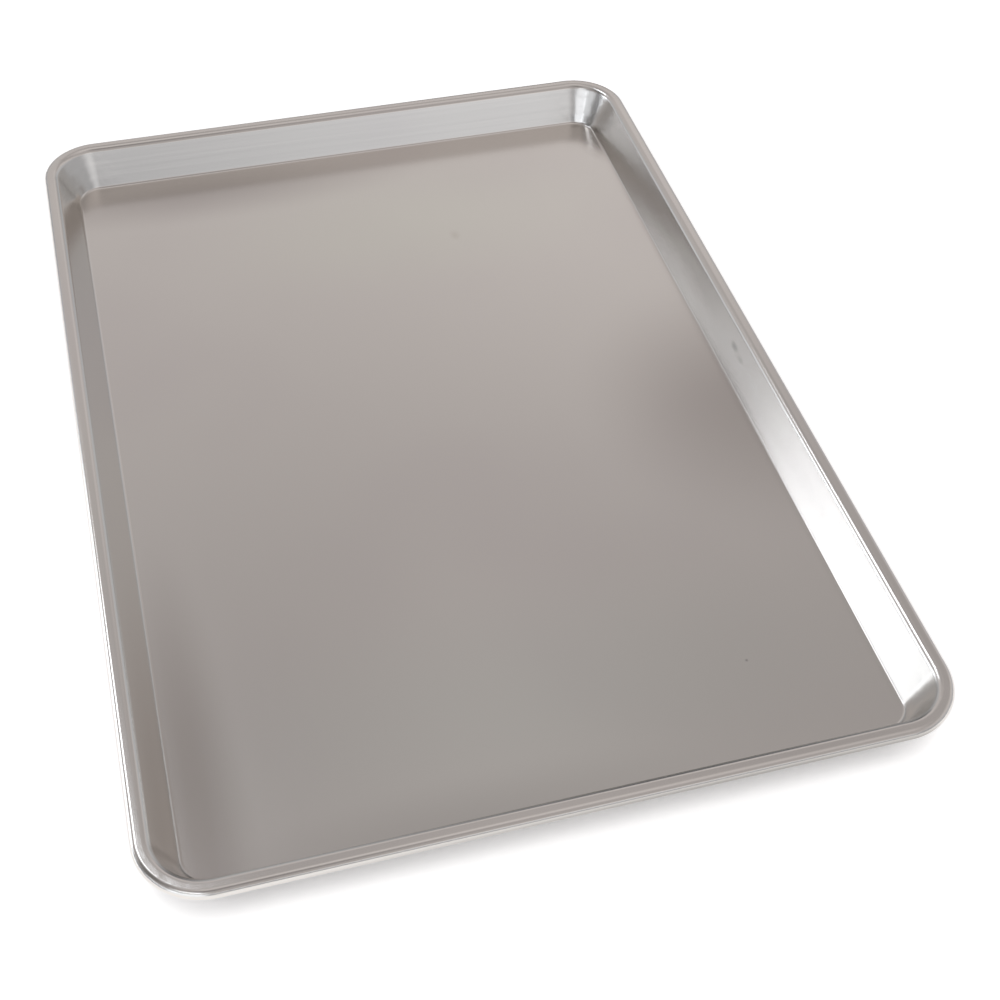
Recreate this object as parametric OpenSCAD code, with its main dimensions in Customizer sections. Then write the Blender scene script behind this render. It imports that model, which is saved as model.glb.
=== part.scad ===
/* [Pan] */
// Overall length over the rolled rim
pan_l = 410; // [250:5:600]
// Overall width over the rolled rim
pan_w = 283; // [180:1:450]
// Overall height from the table to the top of the rim
pan_h = 18; // [14:0.5:40]
// Thickness of the sheet
gauge = 0.8; // [0.6:0.1:1.2]
// Radius of the flat floor's corners, seen from above
floor_corner_r = 9.5; // [6:0.5:30]

/* [Side walls] */
// Slope of the walls, in degrees from the vertical
wall_slope = 25; // [5:1:40]
// Inside radius of the bend from the floor up into the walls
floor_bend_r = 1.5; // [1:0.5:6]

/* [Rolled rim] */
// Radius over the bend from the walls out into the rim
shoulder_r = 3.2; // [1.6:0.1:4]
// Width of the flat land along the top of the rim
land_w = 1.5; // [1:0.1:6]
// Gap left between the curled edge and the wall behind it
seam_gap = 0.3; // [0.1:0.05:0.6]

/* [Rim wire] */
// Diameter of the wire that the rim is rolled round
wire_d = 3.1; // [1.6:0.1:4]
// Clearance between the wire and the sheet curled round it
wire_gap = 0.05; // [0.02:0.01:0.2]
// Gap between the wire's two cut ends
wire_butt_gap = 1.5; // [0.5:0.5:5]

/* [Hidden] */
$fn = 128;

// The section is drawn with x outwards from the axis that a corner turns about, and y up
bead_r = wire_d / 2 + wire_gap + gauge;
wall_out = [cos(wall_slope), -sin(wall_slope)];
floor_end = [floor_corner_r, gauge];
floor_bend_c = floor_end + [0, floor_bend_r];
wall_foot = floor_bend_c + floor_bend_r * wall_out;
wall_head_y = pan_h - shoulder_r * (1 - sin(wall_slope));
wall_head = [wall_foot.x + (wall_head_y - wall_foot.y) * tan(wall_slope), wall_head_y];
shoulder_c = wall_head + shoulder_r * wall_out;
land_end = [shoulder_c.x + land_w, pan_h];
bead_c = land_end - [0, bead_r];
bead_foot = bead_c - [0, bead_r];

// The curled edge stops short of the wall's outer face, at the height of its own upper side
wall_back_x = wall_head.x + gauge / cos(wall_slope)
    - (wall_head.y - bead_foot.y - gauge) * tan(wall_slope);
curl_end = [wall_back_x + seam_gap / cos(wall_slope), bead_foot.y];

// Radius of the rim's outer edge round a corner, and the corner axes' places
rim_corner_r = bead_c.x + bead_r;
corner_x = pan_w / 2 - rim_corner_r;
corner_y = pan_l / 2 - rim_corner_r;

// Flat run of sheet: its show face follows the line, and its thickness lies to the right
module run(start, end) {
  along = (end - start) / norm(end - start);
  back = gauge * [along.y, -along.x];
  polygon([start, end, end + back, start + back]);
}

// Bent stretch of sheet: part of a ring about its centre, between two angles
module bend(centre, inner_r, from, to) {
  outer_r = inner_r + gauge;
  steps = 4;
  translate(centre)
    intersection() {
      difference() {
        circle(r = outer_r);
        circle(r = inner_r);
      }
      polygon(concat([[0, 0]], [
        for (i = [0:steps])
          let (a = from + (to - from) * i / steps)
            2 * outer_r * [cos(a), sin(a)]
      ]));
    }
}

// Whole section of the sheet, from the floor out to the cut edge under the rim
module sheet_section() {
  run([0, gauge], floor_end);
  bend(floor_bend_c, floor_bend_r, -90, -wall_slope);
  run(wall_foot, wall_head);
  bend(shoulder_c, shoulder_r - gauge, 90, 180 - wall_slope);
  run([shoulder_c.x, pan_h], land_end);
  bend(bead_c, bead_r - gauge, 90, -90);
  run(bead_foot, curl_end);
}

// Carries a section straight along one side, centred on that side
module along_side(reach, length) {
  translate([reach, 0, 0])
    rotate([90, 0, 0])
      linear_extrude(length, center = true)
        children();
}

// Carries a section through a quarter turn at each of the four corners
module round_corners() {
  places = [[1, 1], [-1, 1], [-1, -1], [1, -1]];
  for (i = [0:3])
    translate([places[i].x * corner_x, places[i].y * corner_y, 0])
      rotate(90 * i)
        rotate_extrude(angle = 90)
          children();
}

// Drawn sheet: floor, flared walls, round corners and the rim curled over and under
module pan_sheet() {
  color([0.76, 0.74, 0.72]) {
    translate([-corner_x, -corner_y, 0])
      cube([2 * corner_x, 2 * corner_y, gauge]);
    for (turn = [0, 180]) {
      rotate(turn)
        along_side(corner_x, 2 * corner_y)
          sheet_section();
      rotate(turn + 90)
        along_side(corner_y, 2 * corner_x)
          sheet_section();
    }
    round_corners()
      sheet_section();
  }
}

// Wire bent to the rim's outline, its ends meeting in the middle of one short side
module rim_wire() {
  color([0.55, 0.57, 0.60]) {
    half_run = corner_x - wire_butt_gap / 2;
    for (turn = [0, 180])
      rotate(turn)
        along_side(corner_x, 2 * corner_y)
          wire_section();
    rotate(-90)
      along_side(corner_y, 2 * corner_x)
        wire_section();
    for (side = [-1, 1])
      translate([side * (wire_butt_gap + half_run) / 2, 0, 0])
        rotate(90)
          along_side(corner_y, half_run)
            wire_section();
    round_corners()
      wire_section();
  }
}

module wire_section() {
  translate(bead_c)
    circle(d = wire_d);
}

pan_sheet();
rim_wire();
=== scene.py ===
import math

import bpy
from mathutils import Matrix, Vector


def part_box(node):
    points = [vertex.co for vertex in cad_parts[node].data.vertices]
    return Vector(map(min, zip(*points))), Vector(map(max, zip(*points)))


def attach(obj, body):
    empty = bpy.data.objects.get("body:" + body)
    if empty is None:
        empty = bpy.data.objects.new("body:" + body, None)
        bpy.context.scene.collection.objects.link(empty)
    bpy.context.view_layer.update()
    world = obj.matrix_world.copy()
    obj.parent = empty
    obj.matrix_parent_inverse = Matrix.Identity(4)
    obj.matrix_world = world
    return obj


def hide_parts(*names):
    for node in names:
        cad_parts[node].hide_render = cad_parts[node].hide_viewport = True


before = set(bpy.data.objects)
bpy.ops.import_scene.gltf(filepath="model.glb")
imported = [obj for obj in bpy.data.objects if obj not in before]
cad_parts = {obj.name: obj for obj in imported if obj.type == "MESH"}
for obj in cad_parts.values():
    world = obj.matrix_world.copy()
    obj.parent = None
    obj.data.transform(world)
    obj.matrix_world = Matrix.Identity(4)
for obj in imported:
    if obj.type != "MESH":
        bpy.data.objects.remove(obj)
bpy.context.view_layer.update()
mm = 0.001
panBody = "root"


# Node graphs, for materials and for geometry

class Signal:  # an output socket that can be added, subtracted and scaled like a number
    def __init__(self, graph, socket):
        self.graph = graph
        self.socket = socket

    def maths(self, operation, *values):
        return self.graph.node("ShaderNodeMath", {"operation": operation}, dict(enumerate(values)))

    def __add__(self, other):
        return self.maths("ADD", self, other)

    def __radd__(self, other):
        return self.maths("ADD", other, self)

    def __sub__(self, other):
        return self.maths("SUBTRACT", self, other)

    def __rsub__(self, other):
        return self.maths("SUBTRACT", other, self)

    def __mul__(self, other):
        return self.maths("MULTIPLY", self, other)

    def __rmul__(self, other):
        return self.maths("MULTIPLY", other, self)

    def __abs__(self):
        return self.maths("ABSOLUTE", self)

    # Eases from 0 up to the top between two of the signal's values, and holds outside them
    def eased(self, start, end, top=1):
        return self.graph.node("ShaderNodeMapRange", {"interpolation_type": "SMOOTHSTEP"},
                               {"Value": self, "From Min": start, "From Max": end, "To Max": top})


class Graph:
    def __init__(self, tree):
        self.tree = tree

    # Adds a node, sets its settings first and then its sockets, and hands back one output
    def node(self, kind, settings=None, values=None, output=0):
        made = self.tree.nodes.new(kind)
        for name, value in (settings or {}).items():
            if name == "stops":
                self.setStops(made.color_ramp, value)
            else:
                setattr(made, name, value)
        for name, value in (values or {}).items():
            self.feed(made.inputs[name], value)
        return Signal(self, made.outputs[output]) if len(made.outputs) else made

    def feed(self, socket, value):
        if isinstance(value, Signal):
            self.tree.links.new(value.socket, socket)
        elif isinstance(value, list) and isinstance(value[0], Signal):
            for part in value:
                self.tree.links.new(part.socket, socket)
        else:
            socket.default_value = value

    def setStops(self, ramp, stops):
        while len(ramp.elements) < len(stops):
            ramp.elements.new(0.5)  # its own place follows below
        for element, (place, level) in zip(ramp.elements, stops):
            element.position = place
            element.color = (level, level, level, 1)

    def noise(self, place, scale=1, detail=2, roughness=0.5):
        return self.node("ShaderNodeTexNoise", {}, {
            "Vector": place, "Scale": scale, "Detail": detail, "Roughness": roughness})

    # Mixes two colours, by their sockets' numbers on the node
    def mixed(self, share, first, second, blend="MIX"):
        return self.node("ShaderNodeMix", {"data_type": "RGBA", "blend_type": blend},
                         {0: share, 6: first, 7: second}, 2)


def newMaterial(name):
    material = bpy.data.materials.new(name)
    material.use_nodes = True
    material.node_tree.nodes.clear()
    return material, Graph(material.node_tree)


def addToScene(name, data):
    made = bpy.data.objects.new(name, data)
    bpy.context.scene.collection.objects.link(made)
    return made


# Finish of the pan sheet, with painted light and shade in its colour

aluminiumLook = {
    "colour": (0.745, 0.72, 0.69, 1),
    "mottleColour": (0.72, 0.69, 0.668, 1),
    "mottleScale": 7,
    "mottleRange": (0.45, 0.75),  # noise levels at which the second colour sets in, and at which it is full
    "roughness": 0.19,
    "mottleRoughness": 0.03,
    "grainRoughness": 0.04,
    "grainStretch": (2200, 26, 2200),  # rolling lines run along the length of the pan
    "grainDetail": 3,
    "grainBreak": 0.6,
    "grainHeight": 0.005 * mm,
    "drawStretch": (5, 5, 380),  # faint lines left by the press run round the walls, one above another
    "drawHeight": 0.035 * mm,
    # The metal is worked hardest in the four corners, and is duller and slightly puckered there
    "cornerRoughness": 0.045,
    "cornerStart": (102 * mm, 166 * mm, 1 * mm),
    "cornerEnd": (126 * mm, 190 * mm, 5 * mm),
    "puckerScale": 130,
    "puckerHeight": 0.2 * mm,
}
noiseMiddle = 0.5
# Soft ovals multiplied into the metal's colour, mostly painted light and shade: place, half size, both in
# millimetres, and tone at the middle
paintedLightShadeAndMarks = {
    # Painted shade on the floor beside the walls, and painted lighter patches, standing in for the floor's
    # reflections
    "rightMiddle": ((128, -20, 0), (75, 85, 5), (0.73, 0.715, 0.71)),
    "leftFoot": ((-120, -165, 0), (21, 140, 5), (0.71, 0.685, 0.675)),
    "farFoot": ((-70, 174, 0), (120, 24, 5), (0.79, 0.78, 0.78)),
    "nearFoot": ((-30, -192, 0), (110, 24, 5), (0.85, 0.85, 0.85)),
    "farRight": ((20, 130, 0), (130, 60, 5), (1.03, 1.055, 1.025)),
    "nearMiddle": ((0, -150, 0), (170, 70, 5), (0.97, 1.0, 0.995)),
    # Painted shade on the floor in the far right corner, over a bright reflection there
    "farCorner": ((126, 178, 0), (12, 28, 3), (0.60, 0.59, 0.585)),
    # Painted shade along the near bead's lower face, where it mirrors the table
    "nearBead": ((70, -206, 15), (220, 6, 3.4), (0.38, 0.375, 0.37)),
    # Painted shade on the right wall, and the painted shade of two small dents, which are not in the shape
    "wallShade": ((133, 40, 12), (8, 34, 10), (0.90, 0.89, 0.89)),
    "wallDentShade": ((132.4, 0, 11), (1.6, 5, 2.6), (0.72, 0.72, 0.72)),
    "smallDentShade": ((132, -8, 10.5), (1.6, 4, 2), (0.84, 0.84, 0.84)),
    # Real marks on the floor: a speck and a smudge
    "nearSpeck": ((80.4, -150.3, 0.8), (0.9, 0.9, 0.9), (0.68, 0.68, 0.68)),
    "farSmudge": ((38.8, 115.8, 0.8), (3.4, 5.5, 3), (0.94, 0.93, 0.92)),
}


def satinAluminium():
    look = aluminiumLook
    material, g = newMaterial("satinAluminium")
    place = g.node("ShaderNodeTexCoord", output="Object")
    stretched = g.node("ShaderNodeMapping", {}, {"Vector": place, "Scale": look["grainStretch"]})
    grain = g.noise(stretched, detail=look["grainDetail"], roughness=look["grainBreak"])
    drawn = g.node("ShaderNodeMapping", {}, {"Vector": place, "Scale": look["drawStretch"]})
    lines = g.noise(drawn)
    mottle = g.noise(place, look["mottleScale"])
    pucker = g.noise(place, look["puckerScale"])

    # Rises from 0 to 1 in the four corners, above the floor
    corner = 1
    for axis, start, end in zip("XYZ", look["cornerStart"], look["cornerEnd"]):
        along = g.node("ShaderNodeSeparateXYZ", {}, {0: place}, axis)
        corner = corner * abs(along).eased(start, end)

    roughness = (look["roughness"] + look["mottleRoughness"] * (mottle - noiseMiddle)
                 + look["grainRoughness"] * (grain - noiseMiddle) + look["cornerRoughness"] * corner)
    relief = (look["grainHeight"] * grain + look["drawHeight"] * lines
              + look["puckerHeight"] * corner * pucker)
    bump = g.node("ShaderNodeBump", {}, {"Height": relief, "Distance": 1, "Strength": 1}, "Normal")

    tone = g.mixed(mottle.eased(*look["mottleRange"]), look["colour"], look["mottleColour"])
    # Each oval multiplies the colour: painted shade and painted light, and two small real marks
    for middle, halfSize, colour in paintedLightShadeAndMarks.values():
        oval = g.node("ShaderNodeMapping", {"vector_type": "TEXTURE"}, {
            "Vector": place, "Location": [v * mm for v in middle], "Scale": [v * mm for v in halfSize]})
        reach = g.node("ShaderNodeVectorMath", {"operation": "LENGTH"}, {0: oval}, "Value")
        tone = g.mixed(reach.eased(1, 0), tone, (*colour, 1), "MULTIPLY")

    metal = g.node("ShaderNodeBsdfPrincipled", {}, {
        "Base Color": tone, "Metallic": 1, "Roughness": roughness, "Normal": bump})
    g.node("ShaderNodeOutputMaterial", {}, {"Surface": metal})
    return material


# Finish of the rim wire

zincLook = {
    "colour": (0.55, 0.57, 0.60, 1),
    "spangleScale": 700,
    "roughness": 0.35,
    "spangleRoughness": 0.2,
}


def galvanisedSteel():
    look = zincLook
    material, g = newMaterial("galvanisedSteel")
    place = g.node("ShaderNodeTexCoord", output="Object")
    spangle = g.node("ShaderNodeTexVoronoi", {}, {"Vector": place, "Scale": look["spangleScale"]}, "Distance")
    metal = g.node("ShaderNodeBsdfPrincipled", {}, {
        "Base Color": look["colour"], "Metallic": 1,
        "Roughness": look["roughness"] + look["spangleRoughness"] * spangle})
    g.node("ShaderNodeOutputMaterial", {}, {"Surface": metal})
    return material


# Pan sheet: its section carried round the floor's outline, with the floor filled in

panSheet = {
    "gauge": 0.8 * mm,
    "floorCorner": 9.5 * mm,
    "floorBend": 1.5 * mm,
    "wallSlope": math.radians(25),  # from the vertical
    "shoulder": 3.2 * mm,
    "land": 1.5 * mm,
    "bead": 2.4 * mm,
    "seam": 0.3 * mm,
    "cornerSteps": 32,
    "bendSteps": 10,
    "beadSteps": 28,
    "weldDistance": 0.002 * mm,
    "creaseAngle": math.radians(40),
    "areaWeight": 100,  # how far the larger face decides the shading at a shared edge
}


def arc(centre, radius, start, end, steps):
    angles = [start + (end - start) * i / steps for i in range(steps + 1)]
    return [centre + radius * Vector((math.cos(a), math.sin(a))) for a in angles]


# Points of the section, out along the show face, round the cut edge and back along the hidden face,
# and how far it reaches out from the floor's edge
def sectionPoints(height):
    s = panSheet
    slope, gauge = s["wallSlope"], s["gauge"]
    wallOut = Vector((math.cos(slope), -math.sin(slope)))
    bendCentre = Vector((0, gauge + s["floorBend"]))
    foot = bendCentre + s["floorBend"] * wallOut
    headHeight = height - s["shoulder"] * (1 - math.sin(slope))
    head = Vector((foot.x + (headHeight - foot.y) * math.tan(slope), headHeight))
    shoulderCentre = head + s["shoulder"] * wallOut
    beadCentre = Vector((shoulderCentre.x + s["land"], height - s["bead"]))
    beadFoot = beadCentre.y - s["bead"]
    wallBack = head.x + gauge / math.cos(slope) - (head.y - beadFoot - gauge) * math.tan(slope)
    curlEnd = wallBack + s["seam"] / math.cos(slope)
    down, up, wallAngle = -math.pi / 2, math.pi / 2, -slope
    shown = arc(bendCentre, s["floorBend"], down, wallAngle, s["bendSteps"])
    shown += arc(shoulderCentre, s["shoulder"], math.pi + wallAngle, up, s["bendSteps"])
    shown += arc(beadCentre, s["bead"], up, down, s["beadSteps"])
    edge = [Vector((curlEnd, beadFoot)), Vector((curlEnd, beadFoot + gauge))]
    hidden = arc(beadCentre, s["bead"] - gauge, down, up, s["beadSteps"])
    hidden += arc(shoulderCentre, s["shoulder"] - gauge, up, math.pi + wallAngle, s["bendSteps"])
    hidden += arc(bendCentre, s["floorBend"] + gauge, wallAngle, down, s["bendSteps"])
    return shown + edge + hidden, beadCentre.x + s["bead"]


def curveObject(name, points):
    curve = bpy.data.curves.new(name, "CURVE")
    curve.dimensions = "3D"
    spline = curve.splines.new("POLY")
    spline.points.add(len(points) - 1)
    for point, place in zip(spline.points, points):
        point.co = (place.x, -place.y, 0, 1)  # a section's own y points down when it is carried round
    return addToScene(name, curve)


def shellTree():
    tree = bpy.data.node_groups.new("carrySectionRound", "GeometryNodeTree")
    face = tree.interface
    for name, kind in (("Section", "Object"), ("Floor width", "Float"), ("Floor length", "Float"),
                       ("Corner radius", "Float"), ("Corner steps", "Int"), ("Gauge", "Float"),
                       ("Weld distance", "Float"), ("Crease angle", "Float"), ("Finish", "Material")):
        face.new_socket(name, in_out="INPUT", socket_type="NodeSocket" + kind)
    face.new_socket("Geometry", in_out="OUTPUT", socket_type="NodeSocketGeometry")
    g = Graph(tree)
    source = tree.nodes.new("NodeGroupInput")

    def given(name):
        return Signal(g, source.outputs[name])

    outline = g.node("GeometryNodeCurvePrimitiveQuadrilateral", {"mode": "RECTANGLE"},
                     {"Width": given("Floor width"), "Height": given("Floor length")})
    path = g.node("GeometryNodeFilletCurve", {"mode": "POLY"},
                  {"Curve": outline, "Radius": given("Corner radius"), "Count": given("Corner steps")})
    section = g.node("GeometryNodeObjectInfo", {}, {"Object": given("Section")}, "Geometry")
    wall = g.node("GeometryNodeCurveToMesh", {}, {"Curve": path, "Profile Curve": section})
    under = g.node("GeometryNodeFillCurve", {"mode": "NGONS"}, {"Curve": path})
    lift = g.node("ShaderNodeCombineXYZ", {}, {"Z": given("Gauge")})
    top = g.node("GeometryNodeTransform", {}, {"Geometry": under, "Translation": lift})
    base = g.node("GeometryNodeFlipFaces", {}, {"Mesh": under})
    joined = g.node("GeometryNodeJoinGeometry", {}, {"Geometry": [wall, top, base]})
    merged = g.node("GeometryNodeMergeByDistance", {},
                    {"Geometry": joined, "Distance": given("Weld distance")})

    # Smooth all over, with the creases left sharp
    angle = g.node("GeometryNodeInputMeshEdgeAngle", {}, {}, "Unsigned Angle")
    gentle = g.node("FunctionNodeCompare", {"operation": "LESS_THAN"},
                    {"A": angle, "B": given("Crease angle")})
    facesSmooth = g.node("GeometryNodeSetShadeSmooth", {"domain": "FACE"},
                         {"Geometry": merged, "Shade Smooth": True})
    edgesSmooth = g.node("GeometryNodeSetShadeSmooth", {"domain": "EDGE"},
                         {"Geometry": facesSmooth, "Shade Smooth": gentle})
    real = g.node("GeometryNodeRealizeInstances", {}, {"Geometry": edgesSmooth})
    dressed = g.node("GeometryNodeSetMaterial", {}, {"Geometry": real, "Material": given("Finish")})
    sink = tree.nodes.new("NodeGroupOutput")
    tree.links.new(dressed.socket, sink.inputs["Geometry"])
    return tree


def setInputs(modifier, tree, values):
    for item in tree.interface.items_tree:
        if item.in_out == "INPUT":
            modifier[item.identifier] = values[item.name]


# Turns an object's evaluated result into a plain mesh object of its own
def settle(source, name):
    bpy.context.view_layer.update()
    evaluated = source.evaluated_get(bpy.context.evaluated_depsgraph_get())
    mesh = bpy.data.meshes.new_from_object(evaluated)
    mesh.name = name
    bpy.data.objects.remove(source)
    return addToScene(name, mesh)


def makePanSheet(finish):
    s = panSheet
    low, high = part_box("pan_sheet")
    points, reach = sectionPoints(high.z - low.z)
    section = curveObject("sheetSection", points)
    carrier = addToScene("sheetCarrier", bpy.data.meshes.new("sheetCarrier"))
    tree = shellTree()
    modifier = carrier.modifiers.new("carrySectionRound", "NODES")
    modifier.node_group = tree
    setInputs(modifier, tree, {
        "Section": section,
        "Floor width": high.x - low.x - 2 * reach,
        "Floor length": high.y - low.y - 2 * reach,
        "Corner radius": s["floorCorner"],
        "Corner steps": s["cornerSteps"],
        "Gauge": s["gauge"],
        "Weld distance": s["weldDistance"],
        "Crease angle": s["creaseAngle"],
        "Finish": finish,
    })
    even = carrier.modifiers.new("flatsStayFlat", "WEIGHTED_NORMAL")
    even.weight = s["areaWeight"]
    even.keep_sharp = True
    made = settle(carrier, "panSheet")
    bpy.data.objects.remove(section)
    return made


# Stage: a white table in a grey room, and six lamps

tableLook = {
    "size": 60.0,
    "colour": (0.90, 0.90, 0.90, 1),
    "lift": 0.60,  # brings the table up to white where it is seen directly or in the metal
    "shadowReach": 14 * mm,
    "shadowRange": (0.4, 0.8),  # openness at which the contact shadow is deepest, and at which it ends
    "shadowSamples": 8,
}
roomLook = {
    "lightSide": 30,  # compass direction of the room's lighter half, in degrees from +X
    # Brightness of the room's two halves, from the horizon up to the ceiling
    "lightHalf": (0.50, 0.55, 0.60, 0.75, 0.30, 0.65),
    "darkHalf": (0.10, 0.25, 0.55, 0.25, 0.60, 0.75),
    "lowTint": (0.98, 1.0, 1.04, 1),
    "highTint": (1.045, 0.987, 0.974, 1),
    "tintRange": (0.3, 0.5),  # upward share of a direction at which the tint starts to turn, and has turned
}
# Soft round spots on the room's walls and ceiling: compass direction, height, radius and gain
roomSpots = {
    "leftCeiling": (168, 53, 32, -0.85),
    "nearCeiling": (253, 69, 25, -0.75),
    "farCeiling": (105, 65, 20, -0.35),
    "underOverhead": (221, 30, 12, -1.0),
    "leftWall": (178, 27, 12, -1.0),
    "leftFoot": (169, 7, 16, -1.0),
    "farFoot": (73, 14, 19, -1.0),
    "farScreen": (48, 36, 15, -0.4),
    "besideBox": (134, 8, 13, 1.7),
    "overFar": (73, 53, 9, 0.2),
    "farGlow": (70, 34, 12, 0.1),
    "paleWall": (285, 15, 27, 1.0),
}
lampDistance = 1.5
lampColour = (0.95, 1.005, 1.08)
# Flat lamps round the pan: compass direction and height, width and height, all in degrees, and brightness
lamps = {
    "leftBox": {"towards": (149.7, 15), "spread": (21.6, 16), "level": 2.05},
    "lowStrip": {"towards": (161, 2), "spread": (44, 4), "level": 3.0},
    "highStrip": {"towards": (129, 54), "spread": (10, 24), "level": 3.25},
    "nearStrip": {"towards": (204, 16), "spread": (34, 4), "level": 1.7},
    "frontBox": {"towards": (235, 12), "spread": (40, 26), "level": 1.0},
    "overFront": {"towards": (234, 40), "spread": (26, 8), "level": 2.0},
}


def direction(compass, height):
    compass, height = math.radians(compass), math.radians(height)
    level = math.cos(height)
    return Vector((math.cos(compass) * level, math.sin(compass) * level, math.sin(height)))


def whiteTable():
    look = tableLook
    material, g = newMaterial("whiteTable")
    material.cycles.emission_sampling = "NONE"
    rays = ("Is Camera Ray", "Is Glossy Ray", "Is Transmission Ray")
    camera, glossy, through = (g.node("ShaderNodeLightPath", output=ray) for ray in rays)
    openness = g.node("ShaderNodeAmbientOcclusion", {"samples": look["shadowSamples"]},
                      {"Distance": look["shadowReach"]}, "AO")
    deepest, end = look["shadowRange"]
    unshaded = g.node("ShaderNodeMapRange", {}, {"Value": openness, "From Min": deepest, "From Max": end})
    lift = look["lift"] * (camera + glossy + through) * unshaded
    paint = g.node("ShaderNodeBsdfDiffuse", {}, {"Color": look["colour"]})
    glow = g.node("ShaderNodeEmission", {}, {"Color": (1, 1, 1, 1), "Strength": lift})
    both = g.node("ShaderNodeAddShader", {}, {0: paint, 1: glow})
    g.node("ShaderNodeOutputMaterial", {}, {"Surface": both})
    return material


def makeTable():
    half = tableLook["size"] / 2
    corners = [(-half, -half, 0), (half, -half, 0), (half, half, 0), (-half, half, 0)]
    mesh = bpy.data.meshes.new("table")
    mesh.from_pydata(corners, [], [(0, 1, 2, 3)])
    mesh.materials.append(whiteTable())
    table = addToScene("table", mesh)


def makeRoom():
    look = roomLook
    world = bpy.data.worlds.new("greyRoom")
    bpy.context.scene.world = world
    world.use_nodes = True
    world.node_tree.nodes.clear()
    g = Graph(world.node_tree)
    way = g.node("ShaderNodeTexCoord", output="Generated")
    up = g.node("ShaderNodeSeparateXYZ", {}, {0: way}, "Z")

    def alignment(compass, height):
        return g.node("ShaderNodeVectorMath", {"operation": "DOT_PRODUCT"},
                      {0: way, 1: direction(compass, height)}, "Value")

    halves = []
    for name in ("darkHalf", "lightHalf"):
        levels = look[name]
        stops = [(i / (len(levels) - 1), level) for i, level in enumerate(levels)]
        halves.append(g.node("ShaderNodeValToRGB", {"stops": stops}, {"Fac": up}))
    lightShare = 0.5 + 0.5 * alignment(look["lightSide"], 0)  # from -1 to 1, made 0 to 1
    room = g.mixed(lightShare, *halves)
    tint = g.mixed(up.eased(*look["tintRange"]), look["lowTint"], look["highTint"])
    gain = 1
    for compass, height, radius, change in roomSpots.values():
        angle = g.node("ShaderNodeMath", {"operation": "ARCCOSINE"}, {0: alignment(compass, height)})
        gain = gain + angle.eased(math.radians(radius), 0, change)
    strength = g.node("ShaderNodeMath", {"operation": "MAXIMUM"}, {0: gain, 1: 0})
    light = g.node("ShaderNodeBackground", {}, {
        "Color": g.mixed(1, room, tint, "MULTIPLY"), "Strength": strength})
    g.node("ShaderNodeOutputWorld", {}, {"Surface": light})


# Each lamp's power gives its face the named brightness
def makeLamps():
    for name, lamp in lamps.items():
        wide, tall = (2 * lampDistance * math.tan(math.radians(a) / 2) for a in lamp["spread"])
        light = bpy.data.lights.new(name, "AREA")
        light.shape = "RECTANGLE"
        light.size, light.size_y = wide, tall
        light.energy = lamp["level"] * math.pi * wide * tall
        light.color = lampColour
        made = addToScene(name, light)
        made.location = lampDistance * direction(*lamp["towards"])
        made.rotation_euler = (-made.location).to_track_quat("-Z", "Y").to_euler()


# Camera at the photograph's viewpoint

cameraLook = {
    "place": Vector((-0.1050, -0.4552, 0.4533)),
    "azimuth": math.radians(-16.55),
    "elevation": math.radians(47.11),
    "roll": math.radians(1.76),
    "focalShare": 1.567,  # focal length over the picture's width
    "pictureWidth": 36,  # in millimetres, as lens sizes are
    "nearest": 10 * mm,
}


def makeCamera():
    c = cameraLook
    data = bpy.data.cameras.new("camera")
    data.sensor_width = c["pictureWidth"]
    data.lens = c["focalShare"] * c["pictureWidth"]
    data.clip_start = c["nearest"]
    camera = addToScene("camera", data)
    swing = Matrix.Rotation(c["azimuth"], 4, "Z")
    tip = Matrix.Rotation(math.pi / 2 - c["elevation"], 4, "X")
    roll = Matrix.Rotation(c["roll"], 4, "Z")
    camera.matrix_world = Matrix.Translation(c["place"]) @ swing @ tip @ roll
    bpy.context.scene.camera = camera


print("stage")
makeCamera()
makeTable()
makeRoom()
makeLamps()

print("pan sheet")
sheet = makePanSheet(satinAluminium())
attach(sheet, panBody)
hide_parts("pan_sheet")

print("rim wire")
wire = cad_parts["rim_wire"]
wire.data.materials.clear()
wire.data.materials.append(galvanisedSteel())

bpy.context.scene.view_settings.view_transform = "Standard"
